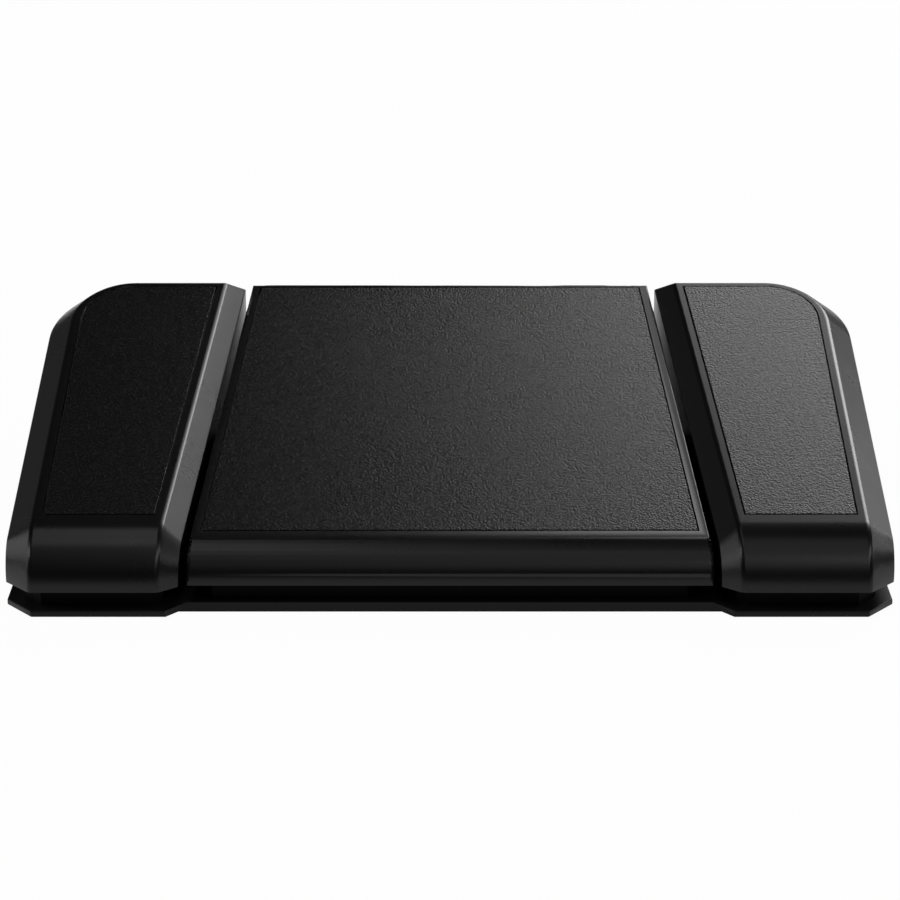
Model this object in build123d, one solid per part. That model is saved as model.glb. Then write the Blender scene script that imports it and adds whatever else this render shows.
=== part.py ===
from build123d import *

import os
from math import atan2, cos, radians, sin, sqrt, tan

# Three-pedal foot switch, in millimetres.
# X runs across the pedals, Y from the toe edge of the base towards its socket, Z is up.
# The origin is on the floor, under the middle of the base.

# Base sheet and the mat under it
mat_thick = 1.0
mat_setback = 6.5
plate_thick = 1.7
plate_half_width = 121.3
plate_lobe_y = -80.0
plate_rear_y = 80.0
plate_middle_y = -73.0
lobe_outer_x = 113.8
lobe_inner_x = 77.5
lobe_inner_foot_x = 72.0
lobe_shoulder_y = -70.2
plate_corner_x = 23.0
plate_corner_y = 33.0
plate_top = mat_thick + plate_thick

# Slope and skirt that all three pedals share
pedal_slope_deg = 13.0
skirt_gap = 5.2
skirt_z = plate_top + skirt_gap
pedal_wall = 2.4
gap_slant_share = 0.07
overrun = 2.0
slope = radians(pedal_slope_deg)

# Side pedal
side_nose_y = -79.5
side_nose_radius = 16.5
side_rear_y = 67.9
side_outer_x = 114.2
side_inner_x = 78.5
chamfer_drop = 5.5
outer_chamfer = 7.2
inner_chamfer = 5.1
rear_chamfer = 7.1
outer_foot_setback = 8.6
inner_foot_setback = 4.8
side_corner_x = 17.5
side_corner_y = 23.2
side_seam_y = -55.0

# Centre pedal
centre_nose_y = -73.9
centre_nose_radius = 11.5
centre_rear_y = 77.0
centre_half_width = 71.3
centre_edge_round = 0.6
port_notch_width = 25.0
port_notch_z = 18.5

# Rubber pads
pad_thick = 1.2
pad_groove = 0.4
side_pad_front_y = -63.0
side_pad_rear_y = 65.3
side_pad_outer_x = 111.5
side_pad_inner_x = 81.0
side_pad_corner_x = 14.5
side_pad_corner_y = 19.3
centre_pad_front_y = -62.0
centre_pad_rear_y = 75.0
centre_pad_half_width = 68.2

# Pivots
pivot_y = -60.0
pivot_z = 10.5
side_pivot_inner_x = 84.0
side_pivot_outer_x = 111.0
centre_pivot_x = 56.0
shaft_diameter = 4.0
shaft_overhang = 2.0
bore_clearance = 0.05
lug_diameter = 9.0
lug_thick = 4.0
bracket_thick = 3.0
lug_side_gap = 0.6
clip_thick = 0.8
clip_diameter = 8.0
clip_bore_share = 0.75
clip_mouth_share = 0.8
pedal_travel_deg = 1.9
travel = radians(pedal_travel_deg)

# Pods, the three moulded trays that carry the pedals
pod_inset = 4.5
pod_wall = 2.0
pod_floor = 2.0
pod_front_z = 12.0
pod_rear_z = 24.0
pod_lead_width = 6.0
pod_lead_height = 3.6
pod_corner_shares = (0.25, 0.33)
pod_z = plate_top + pod_floor

# Screws under the base
screw_diameter = 3.0
screw_head_diameter = 5.6
screw_head_height = 1.5
screw_length = 8.0
screw_boss_diameter = 7.0
screw_boss_height = 7.5
screw_clearance = 0.05
cross_web_share = 0.125
mat_hole_diameter = 8.0
front_screw_y = -30.0
side_screw_inner_x = 89.0
side_screw_outer_x = 109.0
side_rear_screw_y = 57.0
side_rear_screw_inner_x = 77.5
side_rear_screw_outer_x = 107.5
centre_screw_x = 49.0
centre_rear_screw_y = 40.0

# Return springs
spring_y = 8.0
spring_radius = 4.3
spring_wire = 0.5
spring_turns = 5
spring_closed_turns = 1
spring_wire_sides = 8
spring_coil_gap = 0.45
spring_top_z = 26.0
spring_seat_gap = 0.2
cup_wall = 1.6
cup_height = 4.0
cup_gap = 0.5
spring_pin_radius = 2.9
spring_pin_length = 3.0
boss_radius = 5.6

# Key switch under each pedal
switch_y = 40.0
switch_side = 14.0
switch_flange_side = 15.6
switch_flange_thick = 1.0
switch_lower_height = 5.0
switch_upper_height = 6.6
switch_top_side = 11.0
switch_wall = 1.3
stem_block_side = 7.0
stem_block_height = 4.0
stem_cross_span = 4.2
stem_cross_thick = 1.3
stem_rise = 3.6
stem_clearance = 0.15
switch_peg_diameter = 4.0
switch_peg_length = 3.0
post_gap = 0.25
post_span = 9.0
post_rib = 1.6
post_foot_radius = 2.6
post_foot_height = 3.0

# Circuit boards
board_thick = 1.6
board_lift = 2.2
board_z = pod_z + board_lift
side_board_width = 24.0
side_board_length = 27.0
side_board_x = 93.0
side_board_y = 39.0
main_board_width = 60.0
main_board_front_y = 22.0
main_board_rear_y = 69.8
board_tongue_y = 74.6
board_tongue_width = 10.4
standoff_diameter = 5.0
board_screw_diameter = 2.2
board_screw_length = 3.4
board_screw_head_diameter = 4.0
board_screw_head_height = 1.4
board_screw_head_chamfer = 0.45
board_screw_inset = 3.2

# Socket for the lead
socket_width = 8.94
socket_height = 3.26
socket_length = 7.4
socket_wall = 0.35
socket_mouth_y = 77.0
tongue_width = 6.6
tongue_thick = 0.7
tongue_length = 4.6
tongue_setback = 0.9
port_boss_width = 17.0
port_boss_height = 10.2
port_boss_y = 77.6
port_clearance = 0.3

# Parts on the boards
chip_side = 7.0
chip_height = 1.4
chip_leg_length = 1.0
chip_leg_width = 0.35
chip_leg_pitch = 0.8
chip_legs = 8
chip_x = 18.0
chip_y = 47.0
crystal_length = 11.0
crystal_width = 4.6
crystal_height = 3.4
crystal_corner_radius = 1.5
crystal_x = -17.0
crystal_y = 52.0
header_width = 7.4
header_depth = 5.6
header_height = 5.4
header_wall = 0.8
capacitor_length = 3.2
capacitor_width = 1.6
capacitor_height = 1.2

# Leads from the side switches
lead_diameter = 1.4
lead_pitch = 1.6
lead_side_x = 83.05
lead_centre_x = 20.0
lead_cross_y = -44.0
lead_bend = 8.0
lead_lift = 0.1

# Stops
bumper_y = 60.0
bumper_diameter = 8.0
bumper_height = 3.5
bumper_round = 0.9
bumper_stem_diameter = 3.4
bumper_stem_length = 3.0
bumper_boss_diameter = 9.0
bumper_boss_z = 14.0
bumper_clearance = 0.1
side_bumper_x = 92.0
centre_bumper_x = 42.0
side_spring_x = 95.0
centre_spring_x = 38.0
hook_width = 8.0
hook_thick = 2.0
hook_toe = 2.4
hook_clearance = 0.8
hook_toe_height = 2.2
hook_seat_z = 14.0
hook_gap = 0.1
hook_side_x = 88.0
hook_centre_x = 35.0

# Ribs under the pedals
rib_thick = 1.6
rib_depth = 5.0
cross_rib_ys = (-38.0, -12.0, 26.0, 52.0)
side_rib_x = 84.0
side_rib_outer_x = 105.0
centre_rib_xs = (-52.0, -24.0, 24.0, 52.0)

# Sizes that follow from those above
side_arc_y = side_nose_y + side_nose_radius
side_bend_y = side_arc_y - side_nose_radius * sin(slope)
side_bend_z = skirt_z + side_nose_radius * cos(slope)
centre_arc_y = centre_nose_y + centre_nose_radius
centre_bend_y = centre_arc_y - centre_nose_radius * sin(slope)
centre_bend_z = skirt_z + centre_nose_radius * cos(slope)
board_top = board_z + board_thick
switch_top = board_top + switch_lower_height + switch_upper_height
stem_top = switch_top + stem_rise


def box(x0, x1, y0, y1, z0, z1):
    """Block between two corners."""
    size = (x1 - x0, y1 - y0, z1 - z0)
    return Pos((x0 + x1) / 2, (y0 + y1) / 2, (z0 + z1) / 2) * Box(*size)


def rod(x, y, z0, z1, radius):
    """Upright cylinder."""
    return Pos(x, y, (z0 + z1) / 2) * Cylinder(radius, z1 - z0)


def cross_rod(x0, x1, y, z, radius):
    """Cylinder that lies across the pedals."""
    return Pos((x0 + x1) / 2, y, z) * Rot(0, 90, 0) * Cylinder(radius, x1 - x0)


def side_top_z(y, drop=0):
    """Height of the side pedal's top, lowered square to it."""
    return side_bend_z + (y - side_bend_y) * tan(slope) - drop / cos(slope)


def centre_top_z(y, drop=0):
    """Height of the centre pedal's top, lowered square to it."""
    return centre_bend_z + (y - centre_bend_y) * tan(slope) - drop / cos(slope)


def side_gap_x(y, offset=0):
    """Inner top edge of the side pedal, which slants towards the rear."""
    return side_inner_x - (y - side_bend_y) * gap_slant_share + offset


def centre_gap_x(y, offset=0):
    """Edge of the centre pedal, which slants with its neighbour's."""
    return centre_half_width - (y - centre_bend_y) * gap_slant_share + offset


def polygon(points, z0, z1):
    """Upright prism over a closed outline."""
    face = Plane.XY.offset(z0) * make_face(Polyline(*points, close=True))
    return extrude(face, z1 - z0)


def nose_section(x_at, arc_y, radius, foot_radius, top_z, back_y, floor_z):
    """Side view of a pedal: foot, nose arc, sloping top and a straight rear."""

    def point(y, z):
        return Vector(x_at(y), y, z)

    middle = (radians(180) + radians(90) + slope) / 2
    middle_radius = (radius + foot_radius) / 2
    bend_y = arc_y - radius * sin(slope)
    foot = point(arc_y - foot_radius, skirt_z)
    sole = point(arc_y - foot_radius, floor_z)
    belly_y = arc_y + middle_radius * cos(middle)
    belly = point(belly_y, skirt_z + middle_radius * sin(middle))
    bend = point(bend_y, top_z(bend_y))
    peak = point(back_y, top_z(back_y))
    heel = point(back_y, floor_z)
    arc = Edge.make_three_point_arc(foot, belly, bend)
    lines = [Edge.make_line(sole, foot), arc]
    for start, end in ((bend, peak), (peak, heel), (heel, sole)):
        lines.append(Edge.make_line(start, end))
    return Wire(lines)


def corner_outline(x_in, x_out, y0, y1, corner_x, corner_y, height):
    """Closed outline with one elliptical corner at its outer rear."""

    def point(x, y):
        return Vector(x, y, height(y))

    centre_y = y1 - corner_y
    centre_x = x_out - corner_x
    rise = height(y1) - height(y0)
    tilt = atan2(rise, y1 - y0)
    normal = (0, -sin(tilt), cos(tilt))
    plane = Plane(origin=point(centre_x, centre_y), x_dir=(1, 0, 0), z_dir=normal)
    arc = Edge.make_ellipse(corner_x, corner_y / cos(tilt), plane, 0, 90)
    corners = [
        point(centre_x, y1),
        point(x_in(y1), y1),
        point(x_in(y0), y0),
        point(x_out, y0),
        point(x_out, centre_y),
    ]
    lines = [arc]
    for start, end in zip(corners, corners[1:]):
        lines.append(Edge.make_line(start, end))
    return Wire(lines)


def chamfer_after_inset(lateral, inset):
    """Width and drop of a side pedal's chamfer, measured inside its wall."""
    angle = atan2(chamfer_drop, lateral)
    shift = inset * tan(angle / 2)
    width = lateral - inset + shift
    return shift, width, width * chamfer_drop / lateral


def side_block(inset, floor_z):
    """Solid of the right-hand pedal's form, inset all round by a wall."""
    outer_shift, outer_width, outer_drop = chamfer_after_inset(outer_chamfer, inset)
    inner_shift, inner_width, inner_drop = chamfer_after_inset(inner_chamfer, inset)
    rear_shift, rear_width, rear_drop = chamfer_after_inset(rear_chamfer, inset)
    top_outer = side_outer_x - outer_shift
    low_outer = top_outer + outer_width
    top_rear = side_rear_y - rear_shift
    low_rear = top_rear + rear_width
    radius = side_nose_radius - inset

    def top(y):
        return side_top_z(y, inset)

    def low(y):
        return side_top_z(y, inset + rear_drop)

    def low_inner(y):
        return side_top_z(y, inset + inner_drop)

    def low_outer_z(y):
        return side_top_z(y, inset + outer_drop)

    def top_inner_x(y):
        return side_gap_x(y, inner_shift)

    def low_inner_x(y):
        return side_gap_x(y, inner_shift - inner_width)

    def flat(y):
        return floor_z

    low_radius = radius - inner_drop
    outer_low_radius = radius - outer_drop
    shared = dict(arc_y=side_arc_y, back_y=side_seam_y, floor_z=floor_z)
    sections = [
        nose_section(
            low_inner_x,
            radius=low_radius,
            foot_radius=side_nose_radius - inset - inner_foot_setback,
            top_z=low_inner,
            **shared,
        ),
        nose_section(top_inner_x, radius=radius, foot_radius=radius, top_z=top, **shared),
        nose_section(lambda y: top_outer, radius=radius, foot_radius=radius, top_z=top, **shared),
        nose_section(
            lambda y: low_outer,
            radius=outer_low_radius,
            foot_radius=side_nose_radius - inset - outer_foot_setback,
            top_z=low_outer_z,
            **shared,
        ),
    ]
    front = Solid.make_loft(sections, ruled=True)
    rear_shape = dict(y0=side_seam_y, corner_y=side_corner_y)
    upper = corner_outline(
        top_inner_x, top_outer, y1=top_rear, corner_x=side_corner_x, height=top, **rear_shape
    )
    corner_x = side_corner_x + outer_width
    corner_y = side_corner_y + rear_width
    middle = corner_outline(
        low_inner_x, low_outer, side_seam_y, low_rear, corner_x, corner_y, low
    )
    lower = corner_outline(
        low_inner_x, low_outer, side_seam_y, low_rear, corner_x, corner_y, flat
    )
    rear = Solid.make_loft([lower, middle, upper], ruled=True)
    return Part() + front + rear


def centre_block(inset, floor_z):
    """Solid of the centre pedal's form, inset all round by a wall."""
    radius = centre_nose_radius - inset

    def top(y):
        return centre_top_z(y, inset)

    def right(y):
        return centre_gap_x(y, -inset)

    def left(y):
        return -centre_gap_x(y, -inset)

    shape = dict(
        arc_y=centre_arc_y,
        radius=radius,
        foot_radius=radius,
        top_z=top,
        back_y=centre_rear_y - inset,
        floor_z=floor_z,
    )
    sections = [nose_section(left, **shape), nose_section(right, **shape)]
    return Part() + Solid.make_loft(sections, ruled=True)


def skirt_cut():
    """Everything below the pedals' skirts."""
    reach = plate_half_width + overrun
    return box(-reach, reach, plate_lobe_y - overrun, plate_rear_y + overrun, -overrun, skirt_z)


def side_pad_outline(offset, z0, z1):
    """Prism square to the side pedal's top over its pad, grown by an offset."""

    def inner(y):
        return side_pad_inner_x - (y - side_pad_front_y) * gap_slant_share - offset

    def height(y):
        return side_top_z(y)

    wire = corner_outline(
        inner,
        side_pad_outer_x + offset,
        side_pad_front_y - offset,
        side_pad_rear_y + offset,
        side_pad_corner_x + offset,
        side_pad_corner_y + offset,
        height,
    )
    normal = Vector(0, -sin(slope), cos(slope))
    face = Face(wire).moved(Location(normal * z0))
    return Part() + Solid.extrude(face, normal * (z1 - z0))


def centre_pad_outline(offset, z0, z1):
    """Prism square to the centre pedal's top over its pad, grown by an offset."""
    front = centre_pad_front_y - offset
    rear = centre_pad_rear_y + offset
    near = centre_pad_half_width + offset
    far = near - (rear - front) * gap_slant_share
    corners = [(-near, front), (near, front), (far, rear), (-far, rear)]
    points = [Vector(x, y, centre_top_z(y)) for x, y in corners]
    normal = Vector(0, -sin(slope), cos(slope))
    face = Face(Wire.make_polygon(points)).moved(Location(normal * z0))
    return Part() + Solid.extrude(face, normal * (z1 - z0))


def lug(x, thick):
    """Ear that hangs from a pedal round its pivot."""
    half = lug_diameter / 2
    x0 = x - thick / 2
    x1 = x + thick / 2
    web = box(x0, x1, pivot_y - half, pivot_y + half, pivot_z, side_bend_z + half)
    return web + cross_rod(x0, x1, pivot_y, pivot_z, half)


def post(x, top):
    """Ribbed post that bears on the switch stem."""
    foot_z = stem_top + post_gap
    half = post_span / 2
    web = post_rib / 2
    neck = foot_z + post_foot_height
    ribs = box(x - half, x + half, switch_y - web, switch_y + web, neck, top)
    ribs += box(x - web, x + web, switch_y - half, switch_y + half, neck, top)
    return ribs + rod(x, switch_y, foot_z, top, post_foot_radius)


def spring_boss(x, top):
    """Boss that the return spring bears on, with a pin inside the coil."""
    seat = spring_top_z + spring_seat_gap
    pin_z = seat - spring_pin_length
    return rod(x, spring_y, seat, top, boss_radius) + rod(x, spring_y, pin_z, top, spring_pin_radius)


def stop_rib(x, top):
    """Round stop that meets the rubber bumper at the end of the travel."""
    drop = (bumper_y - pivot_y) * sin(travel)
    seat = bumper_boss_z + bumper_height + drop + bumper_clearance
    return rod(x, bumper_y, seat, top, bumper_diameter / 2)


def hook(x, wall_y, top):
    """Catch that hangs down and holds the pedal under a window of its pod."""
    half = hook_width / 2
    inner_y = wall_y - pod_wall - hook_clearance
    toe_top = hook_seat_z - hook_gap
    leg = box(x - half, x + half, inner_y - hook_thick, inner_y, toe_top - hook_toe_height, top)
    toe = box(x - half, x + half, inner_y, inner_y + hook_toe, toe_top - hook_toe_height, toe_top)
    return leg + toe


def slope_rib(x0, x1, y0, y1, top_z):
    """Rib that follows the sloping top down to the rib depth."""
    length = (y1 - y0) / cos(slope)
    middle_y = (y0 + y1) / 2
    normal = (0, -sin(slope), cos(slope))
    plane = Plane(origin=(0, middle_y, top_z(middle_y)), x_dir=(1, 0, 0), z_dir=normal)
    depth = pedal_wall + rib_depth
    place = Pos((x0 + x1) / 2, 0, -depth / 2)
    return plane.location * place * Box(x1 - x0, length, depth)


def side_ribs():
    """Lengthwise and cross ribs under a side pedal."""
    half = rib_thick / 2
    ribs = Part()
    for x in (side_rib_x, side_rib_outer_x):
        ribs += slope_rib(x - half, x + half, side_bend_y, side_rear_y, side_top_z)
    for y in cross_rib_ys:
        ribs += slope_rib(0, plate_half_width, y - half, y + half, side_top_z)
    return ribs


def centre_ribs():
    """Lengthwise and cross ribs under the centre pedal."""
    half = rib_thick / 2
    ribs = Part()
    for x in centre_rib_xs:
        ribs += slope_rib(x - half, x + half, centre_bend_y, centre_rear_y, centre_top_z)
    reach = centre_half_width
    for y in cross_rib_ys:
        ribs += slope_rib(-reach, reach, y - half, y + half, centre_top_z)
    return ribs


def side_rear_wall_y():
    """Outer face of the side pod's rear wall."""
    return side_rear_y + rear_chamfer - pod_inset


def centre_rear_wall_y():
    """Outer face of the centre pod's rear wall."""
    return centre_rear_y - pod_inset


def side_pedal():
    """Right-hand pedal: moulded shell with a mitred chamfer, ribs, ears, post, stop and catch."""
    shell = side_block(0, 0) - side_block(pedal_wall, -overrun)
    fit = side_block(pedal_wall / 2, 0)
    top = side_top_z(side_rear_y)
    inside = side_ribs()
    gap = bracket_thick / 2 + lug_side_gap + lug_thick / 2
    inside += lug(side_pivot_inner_x + gap, lug_thick)
    inside += lug(side_pivot_outer_x - gap, lug_thick)
    inside += post(side_board_x, top)
    inside += spring_boss(side_spring_x, top)
    inside += stop_rib(side_bumper_x, top)
    inside += hook(hook_side_x, side_rear_wall_y(), top)
    pedal = shell + (inside & fit)
    bore = shaft_diameter / 2 + bore_clearance
    pedal -= cross_rod(side_pivot_inner_x, side_pivot_outer_x, pivot_y, pivot_z, bore)
    pedal -= side_pad_outline(pad_groove, -pad_thick, overrun)
    return pedal - shell_foot(shell)


def shell_foot(shell):
    """The part of a pedal's walls that its skirt line cuts away."""
    return shell & skirt_cut()


def side_pad():
    """Right-hand rubber pad, flush in its recess."""
    return side_pad_outline(0, -pad_thick, 0)


def centre_pedal():
    """Centre pedal: moulded shell with ribs, ears, post, stops, catches and a notch for the plug."""
    block = centre_block(0, 0)
    rims = block.edges().filter_by(lambda edge: rim_edge(edge))
    block = fillet(rims, centre_edge_round)
    shell = block - centre_block(pedal_wall, -overrun)
    fit = centre_block(pedal_wall / 2, 0)
    top = centre_top_z(centre_rear_y)
    inside = centre_ribs()
    gap = bracket_thick / 2 + lug_side_gap + lug_thick / 2
    for x in (gap - centre_pivot_x, -gap, gap, centre_pivot_x - gap):
        inside += lug(x, lug_thick)
    inside += post(0, top)
    for side in (-1, 1):
        inside += spring_boss(side * centre_spring_x, top)
        inside += stop_rib(side * centre_bumper_x, top)
        inside += hook(side * hook_centre_x, centre_rear_wall_y(), top)
    pedal = shell + (inside & fit)
    bore = shaft_diameter / 2 + bore_clearance
    pedal -= cross_rod(-centre_pivot_x, centre_pivot_x, pivot_y, pivot_z, bore)
    pedal -= centre_pad_outline(pad_groove, -pad_thick, overrun)
    half = port_notch_width / 2
    notch = box(-half, half, centre_rear_y - pedal_wall - overrun, plate_rear_y, 0, port_notch_z)
    return pedal - shell_foot(shell) - notch


def rim_edge(edge):
    """Edges round the centre pedal's sloping top and nose, on both its sides and its rear."""
    middle = edge.center()
    on_top = abs(middle.Z - centre_top_z(middle.Y)) < pad_groove
    on_rear = abs(middle.Y - centre_rear_y) < pad_groove and middle.Z > centre_top_z(0)
    on_nose = middle.Y < centre_bend_y and middle.Z > skirt_z and abs(middle.X) > centre_pad_half_width
    return (on_top and abs(middle.Y - centre_bend_y) > pad_groove) or on_rear or on_nose


def centre_pad():
    """Centre rubber pad, flush in its recess."""
    return centre_pad_outline(0, -pad_thick, 0)


def side_pod_outline(inset):
    """Corners of the right-hand pod, drawn in from the pedal's skirt."""
    outer = plate_half_width - inset
    rear = side_rear_wall_y() + pod_inset - inset
    front = side_nose_y + inset
    shoulder = lobe_shoulder_y + inset / 2
    nose_in = side_gap_x(side_nose_y, inset - inner_chamfer / 2)
    inner_shoulder = side_nose_y + inner_foot_setback + inset / 2
    return [
        (side_gap_x(rear, inset - inner_chamfer), rear),
        (side_gap_x(inner_shoulder, inset - inner_chamfer), inner_shoulder),
        (nose_in, front),
        (lobe_outer_x - inset / 2, front),
        (outer, shoulder),
        (outer, rear - side_corner_y),
        (outer - side_corner_x * pod_corner_shares[0], rear - side_corner_y * pod_corner_shares[1]),
        (outer - side_corner_x, rear),
    ]


def centre_pod_outline(inset):
    """Corners of the centre pod, drawn in from the pedal's skirt."""
    front = centre_nose_y + inset
    rear = centre_rear_y - inset
    corner = pod_wall
    near = centre_gap_x(front, -inset)
    far = centre_gap_x(rear, -inset)
    right = [(near - corner, front), (near, front + corner), (far, rear)]
    left = [(-x, y) for x, y in reversed(right)]
    return right + left


def tray(outline, inner, front_y, rear_y):
    """Open tray whose walls rise towards the rear."""
    walls = polygon(outline, plate_top, pod_rear_z) - polygon(inner, pod_z, pod_rear_z + overrun)
    profile = [
        (front_y - overrun, 0),
        (rear_y + overrun, 0),
        (rear_y + overrun, pod_rear_z),
        (front_y - overrun, pod_front_z),
    ]
    face = Plane.YZ * make_face(Polyline(*profile, close=True))
    wedge = extrude(face, plate_half_width, both=True)
    return walls & wedge


def bracket(x):
    """Upright that carries the pivot shaft."""
    half = lug_diameter / 2
    x0 = x - bracket_thick / 2
    x1 = x + bracket_thick / 2
    foot = box(x0, x1, pivot_y - half, pivot_y + half, plate_top, pivot_z)
    return foot + cross_rod(x0, x1, pivot_y, pivot_z, half)


def spring_cup(x):
    """Ring on the pod's floor that keeps the return spring in place."""
    inner = spring_radius + spring_wire + cup_gap
    ring = rod(x, spring_y, plate_top, pod_z + cup_height, inner + cup_wall)
    return ring - rod(x, spring_y, pod_z, pod_z + cup_height + overrun, inner)


def bumper_boss(x):
    """Pillar under a rubber bumper, with a hole for its stem."""
    pillar = rod(x, bumper_y, plate_top, bumper_boss_z, bumper_boss_diameter / 2)
    hole = bumper_stem_diameter / 2 + screw_clearance
    depth = bumper_stem_length + bumper_clearance
    return pillar - rod(x, bumper_y, bumper_boss_z - depth, bumper_boss_z + overrun, hole)


def screw_boss(x, y):
    """Pillar that a base screw bites into."""
    return rod(x, y, plate_top, plate_top + screw_boss_height, screw_boss_diameter / 2)


def screw_hole(x, y):
    """Pilot hole of a base screw."""
    radius = screw_diameter / 2 + screw_clearance
    return rod(x, y, 0, mat_thick + screw_length + screw_clearance, radius)


def standoff(x, y):
    """Short pillar under a board."""
    return rod(x, y, plate_top, board_z, standoff_diameter / 2)


def standoff_hole(x, y):
    """Pilot hole of a board screw."""
    depth = board_screw_length + screw_clearance
    return rod(x, y, board_top - depth, board_top, board_screw_diameter / 2 + screw_clearance)


def hook_window(x, wall_y):
    """Window in a pod's rear wall that a pedal's catch reaches into."""
    half = hook_width / 2 + port_clearance
    return box(x - half, x + half, wall_y - pod_wall - overrun, wall_y + overrun, pod_z, hook_seat_z)


def lead_notch(x0, x1):
    """Slot at the foot of a pod's wall where the leads pass."""
    half = pod_lead_width / 2
    return box(x0, x1, lead_cross_y - half, lead_cross_y + half, pod_z, pod_z + pod_lead_height)


def side_screw_places():
    """Base screws of the right-hand pod."""
    return [
        (side_screw_inner_x, front_screw_y),
        (side_screw_outer_x, front_screw_y),
        (side_rear_screw_inner_x, side_rear_screw_y),
        (side_rear_screw_outer_x, side_rear_screw_y),
    ]


def centre_screw_places():
    """Base screws of the centre pod."""
    places = []
    for side in (-1, 1):
        places.append((side * centre_screw_x, front_screw_y))
        places.append((side * centre_screw_x, centre_rear_screw_y))
    return places


def side_board_screw_places():
    """Screws at two opposite corners of the side board."""
    x = side_board_x + side_board_width / 2 - board_screw_inset
    reach_y = side_board_length / 2 - board_screw_inset
    return [(x, side_board_y + reach_y), (x, side_board_y - reach_y)]


def main_board_screw_places():
    """Screws near the four corners of the main board."""
    reach_x = main_board_width / 2 - board_screw_inset
    near = main_board_front_y + board_screw_inset
    far = main_board_rear_y - board_screw_inset
    return [(-reach_x, near), (reach_x, near), (reach_x, far), (-reach_x, far)]


def side_pod():
    """Right-hand tray with its uprights, cup, pillars and window."""
    pod = tray(
        side_pod_outline(pod_inset),
        side_pod_outline(pod_inset + pod_wall),
        side_nose_y,
        side_rear_wall_y(),
    )
    pod += bracket(side_pivot_inner_x) + bracket(side_pivot_outer_x)
    pod += spring_cup(side_spring_x) + bumper_boss(side_bumper_x)
    for x, y in side_screw_places():
        pod += screw_boss(x, y)
    for x, y in side_board_screw_places():
        pod += standoff(x, y)
    bore = shaft_diameter / 2 + bore_clearance
    pod -= cross_rod(side_gap_x(pivot_y), side_outer_x, pivot_y, pivot_z, bore)
    for x, y in side_screw_places():
        pod -= screw_hole(x, y)
    for x, y in side_board_screw_places():
        pod -= standoff_hole(x, y)
    pod -= hook_window(hook_side_x, side_rear_wall_y())
    return pod - lead_notch(centre_half_width, side_gap_x(lead_cross_y) + pod_wall)


def port_boss():
    """Rear housing of the socket, open towards the plug."""
    half = port_boss_width / 2
    wall_y = centre_rear_wall_y()
    return box(-half, half, wall_y - pod_wall, port_boss_y, plate_top, plate_top + port_boss_height)


def socket_middle():
    """Height of the socket's axis."""
    return board_top + socket_height / 2


def stadium(width, height, y0, y1):
    """Flat round-ended bar along the plug's direction."""
    radius = height / 2
    reach = width / 2 - radius
    core = box(-reach, reach, y0, y1, socket_middle() - radius, socket_middle() + radius)
    for x in (-reach, reach):
        end = Pos(x, (y0 + y1) / 2, socket_middle()) * Rot(90, 0, 0) * Cylinder(radius, y1 - y0)
        core += end
    return core


def centre_pod():
    """Centre tray with the main board's pillars and the socket's housing."""
    front = centre_nose_y
    pod = tray(
        centre_pod_outline(pod_inset),
        centre_pod_outline(pod_inset + pod_wall),
        front,
        centre_rear_wall_y(),
    )
    for x in (-centre_pivot_x, 0, centre_pivot_x):
        pod += bracket(x)
    for side in (-1, 1):
        pod += spring_cup(side * centre_spring_x)
        pod += bumper_boss(side * centre_bumper_x)
    for x, y in centre_screw_places():
        pod += screw_boss(x, y)
    for x, y in main_board_screw_places():
        pod += standoff(x, y)
    pod += port_boss()
    bore = shaft_diameter / 2 + bore_clearance
    reach = centre_pivot_x + lug_thick
    pod -= cross_rod(-reach, reach, pivot_y, pivot_z, bore)
    for x, y in centre_screw_places():
        pod -= screw_hole(x, y)
    for x, y in main_board_screw_places():
        pod -= standoff_hole(x, y)
    for side in (-1, 1):
        pod -= hook_window(side * hook_centre_x, centre_rear_wall_y())
        wall_x = centre_gap_x(lead_cross_y, -pod_inset)
        pod -= lead_notch(*sorted((side * (wall_x + overrun), side * (wall_x - pod_wall - overrun))))
    clear = 2 * port_clearance
    inner = stadium(socket_width + clear, socket_height + clear, socket_rear_y() - clear, port_boss_y)
    tongue = board_tongue_width / 2 + port_clearance
    tongue_y = board_tongue_y + port_clearance
    wall_y = centre_rear_wall_y() - pod_wall - overrun
    slot = box(-tongue, tongue, wall_y, tongue_y, board_z - port_clearance, socket_middle())
    return pod - inner - slot


def socket_rear_y():
    """Inner end of the socket's shell."""
    return socket_mouth_y - socket_length


def base_plate():
    """Steel sheet with two front lobes and rounded rear corners, holed for its screws."""
    centre_x = plate_half_width - plate_corner_x
    centre_y = plate_rear_y - plate_corner_y
    corners = [
        (0, plate_middle_y),
        (lobe_inner_foot_x, plate_middle_y),
        (lobe_inner_x, plate_lobe_y),
        (lobe_outer_x, plate_lobe_y),
        (plate_half_width, lobe_shoulder_y),
        (plate_half_width, centre_y),
    ]
    corner_plane = Plane((centre_x, centre_y, 0))
    edges = [Edge.make_ellipse(plate_corner_x, plate_corner_y, corner_plane, 0, 90)]
    corners.append((0, plate_rear_y))
    places = [Vector(x, y) for x, y in corners]
    for start, end in zip(places[:-2], places[1:-1]):
        edges.append(Edge.make_line(start, end))
    edges.append(Edge.make_line(Vector(centre_x, plate_rear_y), places[-1]))
    edges.append(Edge.make_line(places[-1], places[0]))
    half = Face(Wire(edges))
    plate = extrude(Plane.XY.offset(mat_thick) * half, plate_thick)
    plate += mirror(plate, about=Plane.YZ)
    for x, y in all_screw_places():
        plate -= countersink(x, y, screw_clearance)
    return plate


def all_screw_places():
    """Every base screw."""
    places = centre_screw_places()
    for x, y in side_screw_places():
        places.append((x, y))
        places.append((-x, y))
    return places


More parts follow.
